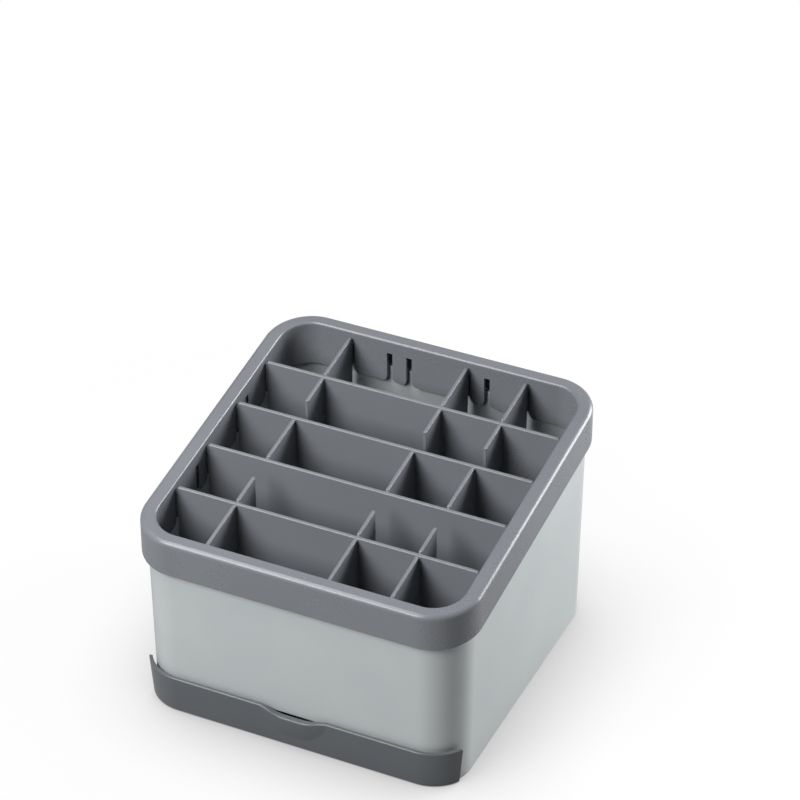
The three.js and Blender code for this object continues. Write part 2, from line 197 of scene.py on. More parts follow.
def linear(code):
    """The linear colour of an sRGB hex code, with full alpha."""
    parts = [int(code[k:k + 2], 16) / 255 for k in (0, 2, 4)]
    return [c / 12.92 if c <= 0.04045 else ((c + 0.055) / 1.055) ** 2.4 for c in parts] + [1.0]


def add_node(tree, kind, settings=None, links=None):
    """Adds a node. Settings are properties and values of inputs, links are the inputs' sources."""
    node = tree.nodes.new(kind)
    for key, value in (settings or {}).items():
        if isinstance(key, str) and hasattr(node, key):
            setattr(node, key, value)
        else:
            node.inputs[key].default_value = value
    for key, source in (links or {}).items():
        tree.links.new(source, node.inputs[key])
    return node


# The real grain is finer than a tenth of a millimetre, too fine to show, so it is drawn coarser
FLOW_SIZE = 45 * MM
SPECK_SIZE = 0.9 * MM
SPECK_SHARE = 0.25
DEEP_BELOW, LIGHT_ABOVE = 0.35, 0.65
SMOOTHER, ROUGHER = 0.03, 0.04
GRAIN_SIZE = 0.35 * MM


def moulded_polypropylene(name, colour, deep_colour, roughness, grain_depth, grain_size=GRAIN_SIZE):
    """Polypropylene from an eroded steel mould: an even satin whose grain breaks up highlights.

    Two close shades drift over some centimetres, as the filler does when the melt flows, and the
    roughness follows the same flow, so that no wall looks printed in one flat colour."""
    material = bpy.data.materials.new(name)
    material.use_nodes = True
    tree = material.node_tree
    tree.nodes.clear()
    spot = add_node(tree, "ShaderNodeTexCoord").outputs["Object"]
    flow = add_node(tree, "ShaderNodeTexNoise",
                    {"Scale": 1 / FLOW_SIZE, "Detail": 2.0, "Roughness": 0.4}, {"Vector": spot})
    speck = add_node(tree, "ShaderNodeTexNoise",
                     {"Scale": 1 / SPECK_SIZE, "Detail": 1.0}, {"Vector": spot})
    blend = add_node(tree, "ShaderNodeMath", {"operation": "MULTIPLY", 1: SPECK_SHARE},
                     {0: speck.outputs["Fac"]})
    drift = add_node(tree, "ShaderNodeMath", {"operation": "MULTIPLY_ADD", 1: 1 - SPECK_SHARE},
                     {0: flow.outputs["Fac"], 2: blend.outputs[0]})
    shade = add_node(tree, "ShaderNodeValToRGB", {}, {"Fac": drift.outputs[0]})
    deep_end, light_end = shade.color_ramp.elements
    deep_end.position, deep_end.color = DEEP_BELOW, linear(deep_colour)
    light_end.position, light_end.color = LIGHT_ABOVE, linear(colour)
    satin = add_node(tree, "ShaderNodeMapRange",
                     {"To Min": roughness - SMOOTHER, "To Max": roughness + ROUGHER},
                     {"Value": drift.outputs[0]})
    grain = add_node(tree, "ShaderNodeTexNoise",
                     {"Scale": 1 / grain_size, "Detail": 2.0, "Roughness": 0.6}, {"Vector": spot})
    relief = add_node(tree, "ShaderNodeBump", {"Strength": 1.0, "Distance": grain_depth},
                      {"Height": grain.outputs["Fac"]})
    surface = add_node(tree, "ShaderNodeBsdfPrincipled", {"IOR": 1.49},
                       {"Base Color": shade.outputs["Color"], "Roughness": satin.outputs[0],
                        "Normal": relief.outputs["Normal"]})
    add_node(tree, "ShaderNodeOutputMaterial", {}, {"Surface": surface.outputs["BSDF"]})
    return material


def dress(piece, material, body, node):
    """Gives the piece its material and its body, and hides the imported solid that it stands for.
    """
    piece.data.materials.clear()
    piece.data.materials.append(material)
    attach(piece, body)
    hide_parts(node)


def housing_top(y):
    """The height of the housing's sloping top edge."""
    return MIDDLE_HEIGHT - HOUSING_TOP_DROP + SLOPE * y


inner_radius = FOOT_RADIUS - HOUSING_WALL
ledge_radius = inner_radius - LEDGE_WIDTH
housing_shell = place("housing_shell", skin([
    level_ring(FOOT_RADIUS, 0, HOUSING_DRAFT),
    rounded_ring(FOOT_RADIUS, housing_top, HOUSING_DRAFT),
    rounded_ring(inner_radius, housing_top, HOUSING_DRAFT),
    level_ring(inner_radius, LEDGE_TOP, HOUSING_DRAFT),
    level_ring(ledge_radius, LEDGE_TOP, HOUSING_DRAFT),
    level_ring(ledge_radius, LEDGE_BOTTOM, HOUSING_DRAFT),
    level_ring(inner_radius, LEDGE_BOTTOM, HOUSING_DRAFT),
    level_ring(inner_radius, 0, HOUSING_DRAFT),
], closed=True))
combine(housing_shell, block((-BEYOND_HOUSING, -BEYOND_HOUSING, BELOW_TABLE),
                             (BEYOND_HOUSING, OPENING_BACK_Y, OPENING_TOP)), "DIFFERENCE")
round_edges(housing_shell, HOUSING_EDGE_RADIUS)
housing_plastic = moulded_polypropylene("satin light grey polypropylene", HOUSING_GREY,
                                        HOUSING_GREY_DEEP, HOUSING_ROUGHNESS, HOUSING_GRAIN_DEPTH)
dress(housing_shell, housing_plastic, "base", "housing")


# Drain plate
# The floor that the handles stand on, a flat moulding in polypropylene like the housing's, loose
# on the ledge. Two columns of round-ended slots under every column of cells let the water through
# to the tray. It is rougher than the rest, so that it looks dull between the walls.
PLATE_THICKNESS = 2 * MM
PLATE_BOTTOM = LEDGE_TOP + SEAT_GAP
PLATE_EDGE_RADIUS = 0.3 * MM
COLUMN_PITCH = MOUTH_WIDTH / CELLS
ROW_PITCH = MOUTH_DEPTH / CELLS
DRAIN_SLOT_WIDTH = 4.5 * MM
DRAIN_SLOT_LENGTH = 24 * MM
DRAIN_ROUNDING_SHARE = 0.499
DRAIN_ROUNDING_STEPS = 6
DRAIN_CUT_HEIGHT = 4 * PLATE_THICKNESS
DRAIN_CUT_BELOW_SHARE = 0.4
PLATE_GREY = "9DA2A4"
PLATE_GREY_DEEP = "969B9D"
PLATE_ROUGHNESS = 0.45
PLATE_GRAIN_DEPTH = 0.005 * MM
PLATE_GRAIN_SIZE = 0.4 * MM


def add_input(tree, name, kind, value=None):
    """Adds a named input to a geometry tree."""
    socket = tree.interface.new_socket(name, in_out="INPUT", socket_type=kind)
    if value is not None:
        socket.default_value = value


def new_geometry_tree(name):
    """A geometry tree that only has its way in and its way out."""
    tree = bpy.data.node_groups.new(name, "GeometryNodeTree")
    tree.is_modifier = True
    for way in ("INPUT", "OUTPUT"):
        tree.interface.new_socket("Geometry", in_out=way, socket_type="NodeSocketGeometry")
    return tree


def grow(piece, tree, values):
    """Runs a geometry tree on a piece, its inputs set by name, and keeps the result as a mesh."""
    modifier = piece.modifiers.new(tree.name, "NODES")
    modifier.node_group = tree
    for item in tree.interface.items_tree:
        if item.item_type == "SOCKET" and item.in_out == "INPUT" and item.name in values:
            modifier[item.identifier] = values[item.name]
    settle(piece)


plate_radius = FOOT_RADIUS + HOUSING_DRAFT * LEDGE_TOP - HOUSING_WALL - SEAT_GAP
plate_plastic = moulded_polypropylene("satin mid light polypropylene", PLATE_GREY, PLATE_GREY_DEEP,
                                      PLATE_ROUGHNESS, PLATE_GRAIN_DEPTH, PLATE_GRAIN_SIZE)

drain_tree = new_geometry_tree("drain slots")
for input_name, input_value in (("Slot Width", DRAIN_SLOT_WIDTH),
                                ("Slot Length", DRAIN_SLOT_LENGTH),
                                ("Column Spacing", COLUMN_PITCH / 2), ("Row Spacing", ROW_PITCH),
                                ("Cut Height", DRAIN_CUT_HEIGHT), ("Middle Height", PLATE_BOTTOM)):
    add_input(drain_tree, input_name, "NodeSocketFloat", input_value)
add_input(drain_tree, "Columns", "NodeSocketInt", 2 * CELLS)
add_input(drain_tree, "Rows", "NodeSocketInt", CELLS)
add_input(drain_tree, "Material", "NodeSocketMaterial")
given = add_node(drain_tree, "NodeGroupInput").outputs

# One slot's cutter, a closed prism over a rectangle whose ends are rounded by almost half its width
outline = add_node(drain_tree, "GeometryNodeCurvePrimitiveQuadrilateral", {},
                   {"Width": given["Slot Width"], "Height": given["Slot Length"]})
end_radius = add_node(drain_tree, "ShaderNodeMath",
                      {"operation": "MULTIPLY", 1: DRAIN_ROUNDING_SHARE}, {0: given["Slot Width"]})
rounded = add_node(drain_tree, "GeometryNodeFilletCurve",
                   {"mode": "POLY", "Count": DRAIN_ROUNDING_STEPS},
                   {"Curve": outline.outputs["Curve"], "Radius": end_radius.outputs[0]})
filled = add_node(drain_tree, "GeometryNodeFillCurve", {"mode": "NGONS"},
                  {"Curve": rounded.outputs["Curve"]})
raised = add_node(drain_tree, "GeometryNodeExtrudeMesh", {"mode": "FACES"},
                  {"Mesh": filled.outputs["Mesh"], "Offset Scale": given["Cut Height"]})
underside = add_node(drain_tree, "GeometryNodeFlipFaces", {}, {"Mesh": filled.outputs["Mesh"]})
open_cutter = add_node(drain_tree, "GeometryNodeJoinGeometry")
drain_tree.links.new(raised.outputs["Mesh"], open_cutter.inputs["Geometry"])
drain_tree.links.new(underside.outputs["Mesh"], open_cutter.inputs["Geometry"])
cutter = add_node(drain_tree, "GeometryNodeMergeByDistance", {"Distance": 0.001 * MM},
                  {"Geometry": open_cutter.outputs["Geometry"]})

# A slot at every point of a grid, cut through the plate
wide = add_node(drain_tree, "ShaderNodeMath", {"operation": "SUBTRACT", 1: 1.0},
                {0: given["Columns"]})
deep = add_node(drain_tree, "ShaderNodeMath", {"operation": "SUBTRACT", 1: 1.0},
                {0: given["Rows"]})
size_x = add_node(drain_tree, "ShaderNodeMath", {"operation": "MULTIPLY"},
                  {0: wide.outputs[0], 1: given["Column Spacing"]})
size_y = add_node(drain_tree, "ShaderNodeMath", {"operation": "MULTIPLY"},
                  {0: deep.outputs[0], 1: given["Row Spacing"]})
spots = add_node(drain_tree, "GeometryNodeMeshGrid", {},
                 {"Size X": size_x.outputs[0], "Size Y": size_y.outputs[0],
                  "Vertices X": given["Columns"], "Vertices Y": given["Rows"]})
drop = add_node(drain_tree, "ShaderNodeMath",
                {"operation": "MULTIPLY_ADD", 1: -DRAIN_CUT_BELOW_SHARE},
                {0: given["Cut Height"], 2: given["Middle Height"]})
height = add_node(drain_tree, "ShaderNodeCombineXYZ", {}, {"Z": drop.outputs[0]})
lowered = add_node(drain_tree, "GeometryNodeTransform", {},
                   {"Geometry": spots.outputs["Mesh"], "Translation": height.outputs[0]})
slots = add_node(drain_tree, "GeometryNodeInstanceOnPoints", {},
                 {"Points": lowered.outputs["Geometry"], "Instance": cutter.outputs["Geometry"]})
real_slots = add_node(drain_tree, "GeometryNodeRealizeInstances", {},
                      {"Geometry": slots.outputs["Instances"]})
pierced = add_node(drain_tree, "GeometryNodeMeshBoolean",
                   {"operation": "DIFFERENCE", "solver": "EXACT"},
                   {"Mesh 1": given["Geometry"], "Mesh 2": real_slots.outputs["Geometry"]})
solid_plate = add_node(drain_tree, "GeometryNodeRealizeInstances", {},
                       {"Geometry": pierced.outputs["Mesh"]})
coloured = add_node(drain_tree, "GeometryNodeSetMaterial", {},
                    {"Geometry": solid_plate.outputs["Geometry"], "Material": given["Material"]})
add_node(drain_tree, "NodeGroupOutput", {}, {"Geometry": coloured.outputs["Geometry"]})

drain_floor = place("drain_floor", skin([
    level_ring(plate_radius, PLATE_BOTTOM),
    level_ring(plate_radius, PLATE_BOTTOM + PLATE_THICKNESS),
]))
grow(drain_floor, drain_tree, {"Material": plate_plastic})
round_edges(drain_floor, PLATE_EDGE_RADIUS, segments=2)
dress(drain_floor, plate_plastic, "base", "drain_plate")


# Rim frame
# An upside-down channel in darker grey polypropylene, which drops over the housing's top edge and
# slopes up to the back. Its inner skirt has open-bottomed slots, where the dividers' tabs clip in,
# and springy tongues beside the middle ones. Ribs across the channel rest on the housing.
RIM_TOP_THICKNESS = 2.6 * MM
BAND_HEIGHT = 22.2 * MM
BAND_FOOT_RADIUS = 0.5 * MM
BAND_FOOT_STEPS = 3
SKIRT_DEPTH = 27.8 * MM
SKIRT_WALL = 2.2 * MM
OUTER_EDGE_RADIUS = 3 * MM
MOUTH_EDGE_RADIUS = 1.6 * MM
CUT_EDGE_RADIUS = 0.25 * MM
MOUTH_RADIUS = RIM_RADIUS - RIM_TOP_WIDTH
SKIRT_SLOT_WIDTH = 3.3 * MM
SKIRT_SLOT_TOP = 8.6 * MM
LEAD_RADIUS = 3.4 * MM
TONGUE_WIDTH = 8.8 * MM
NUB_REACH = 1.1 * MM
NUB_RISE = 3.8 * MM
NUB_HEIGHT = 1.6 * MM
RIB_THICKNESS = 1.6 * MM
RIB_REACH = 5.9 * MM
RIB_TOP = -1.4 * MM
RIB_FOOT = SEAT_GAP - HOUSING_TOP_DROP
RIB_SPACING_SHARE = 0.4
EDGE_STEPS = 8
CUT_PAST = 4 * MM
RIM_GREY = "777A7F"
RIM_GREY_DEEP = "74777C"
RIM_ROUGHNESS = 0.27
FINE_GRAIN_DEPTH = 0.0004 * MM


def arc(centre_u, centre_v, radius, from_angle, to_angle, steps=EDGE_STEPS):
    """Points of an arc, as pairs, with the angles in degrees."""
    points = []
    for step in range(steps + 1):
        angle = math.radians(from_angle + (to_angle - from_angle) * step / steps)
        points.append((centre_u + radius * math.cos(angle), centre_v + radius * math.sin(angle)))
    return points


def upright_plate(outline, thickness):
    """A plate whose outline is given in X and Z, centred on Y = 0."""
    rings = [[Vector((x, side * thickness / 2, z)) for x, z in outline] for side in (-1, 1)]
    return skin(rings)


def lay_on_slope(piece):
    """Shears a piece that was made level, with its zero height in the mouth's edge, to the rim."""
    piece.data.transform(Matrix(((1, 0, 0, 0),
                                 (0, 1, 0, 0),
                                 (0, SLOPE, 1, MIDDLE_HEIGHT),
                                 (0, 0, 0, 1))))


def mouth_ring(radius, rise):
    """A ring that lies level across the front and the back bar once the rim is on its slope."""
    edge = level_ring(MOUTH_RADIUS, 0)
    return [Vector((point.x, point.y, rise + SLOPE * (beside.y - point.y)))
            for point, beside in zip(level_ring(radius, 0), edge)]


def skirt_slot(with_nub):
    """A slot's cutter, with rounded lead-ins at its foot and a nub that carries a divider's tab."""
    half, foot = SKIRT_SLOT_WIDTH / 2, -SKIRT_DEPTH
    lead_in = arc(half + LEAD_RADIUS, foot + LEAD_RADIUS, LEAD_RADIUS, -90, -180)
    side = [(half + LEAD_RADIUS, foot - CUT_PAST)] + lead_in
    nub_foot, nub_top = foot + NUB_RISE, foot + NUB_RISE + NUB_HEIGHT
    nub = [(half, nub_foot), (half - NUB_REACH, nub_foot + NUB_REACH),
           (half - NUB_REACH, nub_top), (half, nub_top)]
    top = [(half, -SKIRT_SLOT_TOP)]
    left = [(-x, z) for x, z in reversed(side + top)]
    outline = side + (nub if with_nub else []) + top + left
    return upright_plate(outline, RIM_TOP_WIDTH - BAND_WALL)


rim_plastic = moulded_polypropylene("satin mid grey polypropylene", RIM_GREY, RIM_GREY_DEEP,
                                    RIM_ROUGHNESS, FINE_GRAIN_DEPTH)

mean_mouth = (MOUTH_WIDTH + MOUTH_DEPTH) / 2
rib_middle = mean_mouth / 2 + (SKIRT_WALL + RIB_REACH) / 2
slot_tree = new_geometry_tree("skirt slots and ribs")
for input_name, input_value in (("Mouth", mean_mouth), ("Pitch", mean_mouth / CELLS),
                                ("Tongue Step", TONGUE_WIDTH + SKIRT_SLOT_WIDTH),
                                ("Rib Spacing", RIB_SPACING_SHARE * mean_mouth),
                                ("Rib Distance", rib_middle),
                                ("Rib Height", (RIB_TOP + RIB_FOOT) / 2)):
    add_input(slot_tree, input_name, "NodeSocketFloat", input_value)
add_input(slot_tree, "Rib Size", "NodeSocketVector", (RIB_THICKNESS, RIB_REACH, RIB_TOP - RIB_FOOT))
add_input(slot_tree, "Stretch", "NodeSocketVector",
          (MOUTH_WIDTH / mean_mouth, MOUTH_DEPTH / mean_mouth, 1))
add_input(slot_tree, "Wall Slot", "NodeSocketObject")
add_input(slot_tree, "Tongue Slot", "NodeSocketObject")
add_input(slot_tree, "Material", "NodeSocketMaterial")
given = add_node(slot_tree, "NodeGroupInput").outputs
half_mouth = add_node(slot_tree, "ShaderNodeMath", {"operation": "MULTIPLY", 1: 0.5},
                      {0: given["Mouth"]}).outputs[0]
place_index = add_node(slot_tree, "GeometryNodeInputIndex").outputs[0]

# Four wall slots on one side, the left pair turned so that each nub lies away from the middle
first_x = add_node(slot_tree, "ShaderNodeMath", {"operation": "MULTIPLY", 1: -1.5},
                   {0: given["Pitch"]}).outputs[0]
first_slot = add_node(slot_tree, "ShaderNodeCombineXYZ", {},
                      {"X": first_x, "Y": half_mouth}).outputs[0]
slot_step = add_node(slot_tree, "ShaderNodeCombineXYZ", {}, {"X": given["Pitch"]}).outputs[0]
slot_line = add_node(slot_tree, "GeometryNodeMeshLine", {"Count": 4},
                     {"Start Location": first_slot, "Offset": slot_step})
on_left = add_node(slot_tree, "ShaderNodeMath", {"operation": "LESS_THAN", 1: 1.5},
                   {0: place_index}).outputs[0]
half_turn = add_node(slot_tree, "ShaderNodeMath", {"operation": "MULTIPLY", 1: math.pi},
                     {0: on_left}).outputs[0]
slot_turn = add_node(slot_tree, "ShaderNodeCombineXYZ", {}, {"Z": half_turn}).outputs[0]
wall_cutter = add_node(slot_tree, "GeometryNodeObjectInfo", {}, {"Object": given["Wall Slot"]})
wall_slots = add_node(slot_tree, "GeometryNodeInstanceOnPoints", {},
                      {"Points": slot_line.outputs["Mesh"], "Rotation": slot_turn,
                       "Instance": wall_cutter.outputs["Geometry"]})

# Two more slots, one beyond each of the middle pair, which leave the tongues
half_pitch = add_node(slot_tree, "ShaderNodeMath", {"operation": "MULTIPLY_ADD", 1: 0.5},
                      {0: given["Pitch"], 2: given["Tongue Step"]}).outputs[0]
tongue_start_x = add_node(slot_tree, "ShaderNodeMath", {"operation": "MULTIPLY", 1: -1.0},
                          {0: half_pitch}).outputs[0]
tongue_span_x = add_node(slot_tree, "ShaderNodeMath", {"operation": "MULTIPLY", 1: 2.0},
                         {0: half_pitch}).outputs[0]
tongue_start = add_node(slot_tree, "ShaderNodeCombineXYZ", {},
                        {"X": tongue_start_x, "Y": half_mouth}).outputs[0]
tongue_span = add_node(slot_tree, "ShaderNodeCombineXYZ", {}, {"X": tongue_span_x}).outputs[0]
tongue_line = add_node(slot_tree, "GeometryNodeMeshLine", {"Count": 2},
                       {"Start Location": tongue_start, "Offset": tongue_span})
tongue_cutter = add_node(slot_tree, "GeometryNodeObjectInfo", {}, {"Object": given["Tongue Slot"]})
tongue_slots = add_node(slot_tree, "GeometryNodeInstanceOnPoints", {},
                        {"Points": tongue_line.outputs["Mesh"],
                         "Instance": tongue_cutter.outputs["Geometry"]})
side_slots = add_node(slot_tree, "GeometryNodeJoinGeometry")
slot_tree.links.new(wall_slots.outputs["Instances"], side_slots.inputs["Geometry"])
slot_tree.links.new(tongue_slots.outputs["Instances"], side_slots.inputs["Geometry"])

# Three ribs on one side
rib_start_x = add_node(slot_tree, "ShaderNodeMath", {"operation": "MULTIPLY", 1: -1.0},
                       {0: given["Rib Spacing"]}).outputs[0]
rib_start = add_node(slot_tree, "ShaderNodeCombineXYZ", {},
                     {"X": rib_start_x, "Y": given["Rib Distance"],
                      "Z": given["Rib Height"]}).outputs[0]
rib_step = add_node(slot_tree, "ShaderNodeCombineXYZ", {}, {"X": given["Rib Spacing"]}).outputs[0]
rib_line = add_node(slot_tree, "GeometryNodeMeshLine", {"Count": 3},
                    {"Start Location": rib_start, "Offset": rib_step})
rib = add_node(slot_tree, "GeometryNodeMeshCube", {}, {"Size": given["Rib Size"]})
side_ribs = add_node(slot_tree, "GeometryNodeInstanceOnPoints", {},
                     {"Points": rib_line.outputs["Mesh"], "Instance": rib.outputs["Mesh"]})

# The same on all four sides, by quarter turns about the middle
quarters = add_node(slot_tree, "GeometryNodeMeshLine", {"Count": 4, "Offset": (0, 0, 0)})
quarter_angle = add_node(slot_tree, "ShaderNodeMath", {"operation": "MULTIPLY", 1: math.pi / 2},
                         {0: place_index}).outputs[0]
quarter_turn = add_node(slot_tree, "ShaderNodeCombineXYZ", {}, {"Z": quarter_angle}).outputs[0]
turned_slots = add_node(slot_tree, "GeometryNodeInstanceOnPoints", {},
                        {"Points": quarters.outputs["Mesh"], "Rotation": quarter_turn,
                         "Instance": side_slots.outputs["Geometry"]})
all_ribs = add_node(slot_tree, "GeometryNodeInstanceOnPoints", {},
                    {"Points": quarters.outputs["Mesh"], "Rotation": quarter_turn,
                     "Instance": side_ribs.outputs["Instances"]})

# No wall ends in the second slot at the front and the back, so a plain cutter takes the nub away
bare_x = add_node(slot_tree, "ShaderNodeMath", {"operation": "MULTIPLY", 1: -0.5},
                  {0: given["Pitch"]}).outputs[0]
front_y = add_node(slot_tree, "ShaderNodeMath", {"operation": "MULTIPLY", 1: -1.0},
                   {0: half_mouth}).outputs[0]
bare_start = add_node(slot_tree, "ShaderNodeCombineXYZ", {}, {"X": bare_x, "Y": front_y}).outputs[0]
bare_span = add_node(slot_tree, "ShaderNodeCombineXYZ", {}, {"Y": given["Mouth"]}).outputs[0]
bare_line = add_node(slot_tree, "GeometryNodeMeshLine", {"Count": 2},
                     {"Start Location": bare_start, "Offset": bare_span})
bare_slots = add_node(slot_tree, "GeometryNodeInstanceOnPoints", {},
                      {"Points": bare_line.outputs["Mesh"],
                       "Instance": tongue_cutter.outputs["Geometry"]})

# The mouth is a little wider than deep, so the cutters and the ribs are stretched to it
fitted = []
for copies in (turned_slots, bare_slots, all_ribs):
    real = add_node(slot_tree, "GeometryNodeRealizeInstances", {},
                    {"Geometry": copies.outputs["Instances"]})
    fitted.append(add_node(slot_tree, "GeometryNodeTransform", {},
                           {"Geometry": real.outputs["Geometry"], "Scale": given["Stretch"]}))
real_slots, real_bare_slots, real_ribs = fitted
ribbed = add_node(slot_tree, "GeometryNodeMeshBoolean", {"operation": "UNION", "solver": "EXACT"})
slot_tree.links.new(given["Geometry"], ribbed.inputs["Mesh 2"])
slot_tree.links.new(real_ribs.outputs["Geometry"], ribbed.inputs["Mesh 2"])
slotted = add_node(slot_tree, "GeometryNodeMeshBoolean",
                   {"operation": "DIFFERENCE", "solver": "EXACT"},
                   {"Mesh 1": ribbed.outputs["Mesh"], "Mesh 2": real_slots.outputs["Geometry"]})
bared = add_node(slot_tree, "GeometryNodeMeshBoolean",
                 {"operation": "DIFFERENCE", "solver": "EXACT"},
                 {"Mesh 1": slotted.outputs["Mesh"],
                  "Mesh 2": real_bare_slots.outputs["Geometry"]})
solid_rim = add_node(slot_tree, "GeometryNodeRealizeInstances", {},
                     {"Geometry": bared.outputs["Mesh"]})
coloured = add_node(slot_tree, "GeometryNodeSetMaterial", {},
                    {"Geometry": solid_rim.outputs["Geometry"], "Material": given["Material"]})
add_node(slot_tree, "NodeGroupOutput", {}, {"Geometry": coloured.outputs["Geometry"]})

band_inside = RIM_RADIUS - BAND_WALL
skirt_outside = MOUTH_RADIUS + SKIRT_WALL
channel_section = (
    arc(RIM_RADIUS - BAND_FOOT_RADIUS, -BAND_HEIGHT + BAND_FOOT_RADIUS, BAND_FOOT_RADIUS,
        -90, 0, BAND_FOOT_STEPS)
    + arc(RIM_RADIUS - OUTER_EDGE_RADIUS, -OUTER_EDGE_RADIUS, OUTER_EDGE_RADIUS, 0, 90)
    + arc(MOUTH_RADIUS + MOUTH_EDGE_RADIUS, -MOUTH_EDGE_RADIUS, MOUTH_EDGE_RADIUS, 90, 180)
    + [(MOUTH_RADIUS, -SKIRT_DEPTH), (skirt_outside, -SKIRT_DEPTH),
       (skirt_outside, -RIM_TOP_THICKNESS), (band_inside, -RIM_TOP_THICKNESS),
       (band_inside, -BAND_HEIGHT)]
)
channel_rings = [mouth_ring(reach, rise) for reach, rise in channel_section]
rim_channel = place("rim_channel", skin(channel_rings, closed=True))
wall_slot = place("wall_slot", skirt_slot(True))
tongue_slot = place("tongue_slot", skirt_slot(False))
grow(rim_channel, slot_tree,
     {"Wall Slot": wall_slot, "Tongue Slot": tongue_slot, "Material": rim_plastic})
bpy.data.objects.remove(wall_slot)
bpy.data.objects.remove(tongue_slot)
lay_on_slope(rim_channel)
round_edges(rim_channel, CUT_EDGE_RADIUS, segments=2)
dress(rim_channel, rim_plastic, "insert", "rim_frame")


# Dividers
# Three polypropylene mouldings in a grey close to the rim's, with walls from side to side crossed
# by walls from front to back. Tabs at the walls' ends clip into the skirt's slots from beneath and
# stop on the nubs. The front and the back one have stubs that end free, beside a lane.
WALL_THICKNESS = 2 * MM
WALL_DEPTH = 55 * MM
WALL_TOP_DROP = 3.2 * MM
WALL_END_GAP = 0.7 * MM
WALL_EDGE_RADIUS = 0.45 * MM
TOP_CORNER_CUT = 1 * MM
NOTCH_WIDTH = 1.3 * MM
NOTCH_DEPTH = 1 * MM
JOIN_DEPTH = 0.3 * MM
STUB_SHARE = 0.6
STUB_LENGTH = STUB_SHARE * ROW_PITCH
CROSSED_COLUMNS = (-1.5 * COLUMN_PITCH, 0.5 * COLUMN_PITCH, 1.5 * COLUMN_PITCH)
DIVIDER_GREY = "7A7D82"
DIVIDER_GREY_DEEP = "777A7F"
DIVIDER_ROUGHNESS = 0.28


def wall_outline(start, end, start_tab, end_tab):
    """A wall from its side. An end at the skirt stops short of it, and its tab enters the slot."""
    top = -WALL_TOP_DROP
    bottom = top - WALL_DEPTH
    tab_top = -SKIRT_SLOT_TOP - SEAT_GAP
    tab_bottom = NUB_RISE + NUB_HEIGHT + SEAT_GAP - SKIRT_DEPTH

    def end_points(place_x, outwards, tabbed):
        if not tabbed:
            return [(place_x, bottom), (place_x, top)]
        wall_end = place_x - outwards * WALL_END_GAP
        tab_end = place_x + outwards * SKIRT_WALL
        return [(wall_end, bottom), (wall_end, tab_bottom), (tab_end, tab_bottom),
                (tab_end, tab_top), (wall_end, tab_top), (wall_end, top - TOP_CORNER_CUT),
                (wall_end - outwards * TOP_CORNER_CUT, top)]

    return end_points(end, 1, end_tab) + end_points(start, -1, start_tab)[::-1]


def make_divider(name, walls, stretch, node):
    """Walls from side to side at the given Ys, crossed in three columns along the stretch.

    The crossing walls' tops stop in a small notch on both sides of each wall that they cross."""
    half = MOUTH_WIDTH / 2
    meshes = []
    for y in walls:
        mesh = upright_plate(wall_outline(-half, half, True, True), WALL_THICKNESS)
        mesh.transform(Matrix.Translation((0, y, 0)))
        meshes.append(mesh)
    cross_wall = place("cross_wall", upright_plate(wall_outline(*stretch), WALL_THICKNESS))
    notch_reach = WALL_THICKNESS / 2 + NOTCH_WIDTH
    notch_floor = -WALL_TOP_DROP - NOTCH_DEPTH
    for y in walls:
        combine(cross_wall, block((y - notch_reach, -WALL_THICKNESS, notch_floor),
                                  (y + notch_reach, WALL_THICKNESS, 0)), "DIFFERENCE")
    for x in CROSSED_COLUMNS:
        mesh = cross_wall.data.copy()
        mesh.transform(Matrix.Translation((x, 0, 0)) @ Matrix.Rotation(math.pi / 2, 4, "Z"))
        meshes.append(mesh)
    bpy.data.objects.remove(cross_wall)
    divider = place(name, meshes[0])
    for mesh in meshes[1:]:
        combine(divider, mesh, "UNION")
    lay_on_slope(divider)
    round_edges(divider, WALL_EDGE_RADIUS, segments=4)
    dress(divider, divider_plastic, "insert", node)


divider_plastic = moulded_polypropylene("satin divider polypropylene", DIVIDER_GREY,
                                        DIVIDER_GREY_DEEP, DIVIDER_ROUGHNESS, FINE_GRAIN_DEPTH)
row_edge = [k * ROW_PITCH - MOUTH_DEPTH / 2 for k in range(CELLS + 1)]
front_stretch = (row_edge[0], row_edge[1] + STUB_LENGTH, True, False)
back_stretch = (row_edge[4] - STUB_LENGTH, row_edge[5], False, True)
# These walls reach a little past the middle of the two walls that they end in
middle_stretch = (row_edge[2] - JOIN_DEPTH, row_edge[3] + JOIN_DEPTH, False, False)
make_divider("front_divider_walls", row_edge[1:2], front_stretch, "front_divider")
make_divider("middle_divider_walls", row_edge[2:4], middle_stretch, "middle_divider")
make_divider("back_divider_walls", row_edge[4:5], back_stretch, "back_divider")


# Drip tray
# A shallow drawer in the darkest grey polypropylene, which slides out between the housing's side
# walls. Its lip leans outwards, wraps round both front corners and closes the opening, and dips
# and bulges in the middle, where a finger pulls it.
TABLE_GAP = 0.3 * MM
SLIDE_GAP = 0.6 * MM
TRAY_FLOOR = 2 * MM
TRAY_WALL = 2 * MM
TRAY_WALL_HEIGHT = 17 * MM
TRAY_WALL_TOP = TABLE_GAP + TRAY_WALL_HEIGHT
TRAY_EDGE_RADIUS = 0.3 * MM
RETURN_THICKNESS = 2.4 * MM
LIP_TOP = 24.2 * MM
LIP_GAP = 1.7 * MM
LIP_THICKNESS = 2 * MM
LIP_LEAN = math.tan(math.radians(4.3))
LIP_EDGE_RADIUS = 0.9 * MM
LIP_FOOT_RADIUS = 1 * MM
LIP_ARC_STEPS = 6
LIP_LEVELS = 24
PULL_WIDTH = 41 * MM
PULL_SHOULDER_SHARE = 0.36
PULL_DIP = 2.9 * MM
PULL_DEPTH = 14.5 * MM
PULL_BULGE = 2 * MM
PULL_HOLLOW = 0.5 * MM
PULL_STEPS = 80
FAR = 200 * MM
HIGH = 100 * MM
TRAY_GREY = "5F6367"
TRAY_GREY_DEEP = "5C6064"
TRAY_ROUGHNESS = 0.3


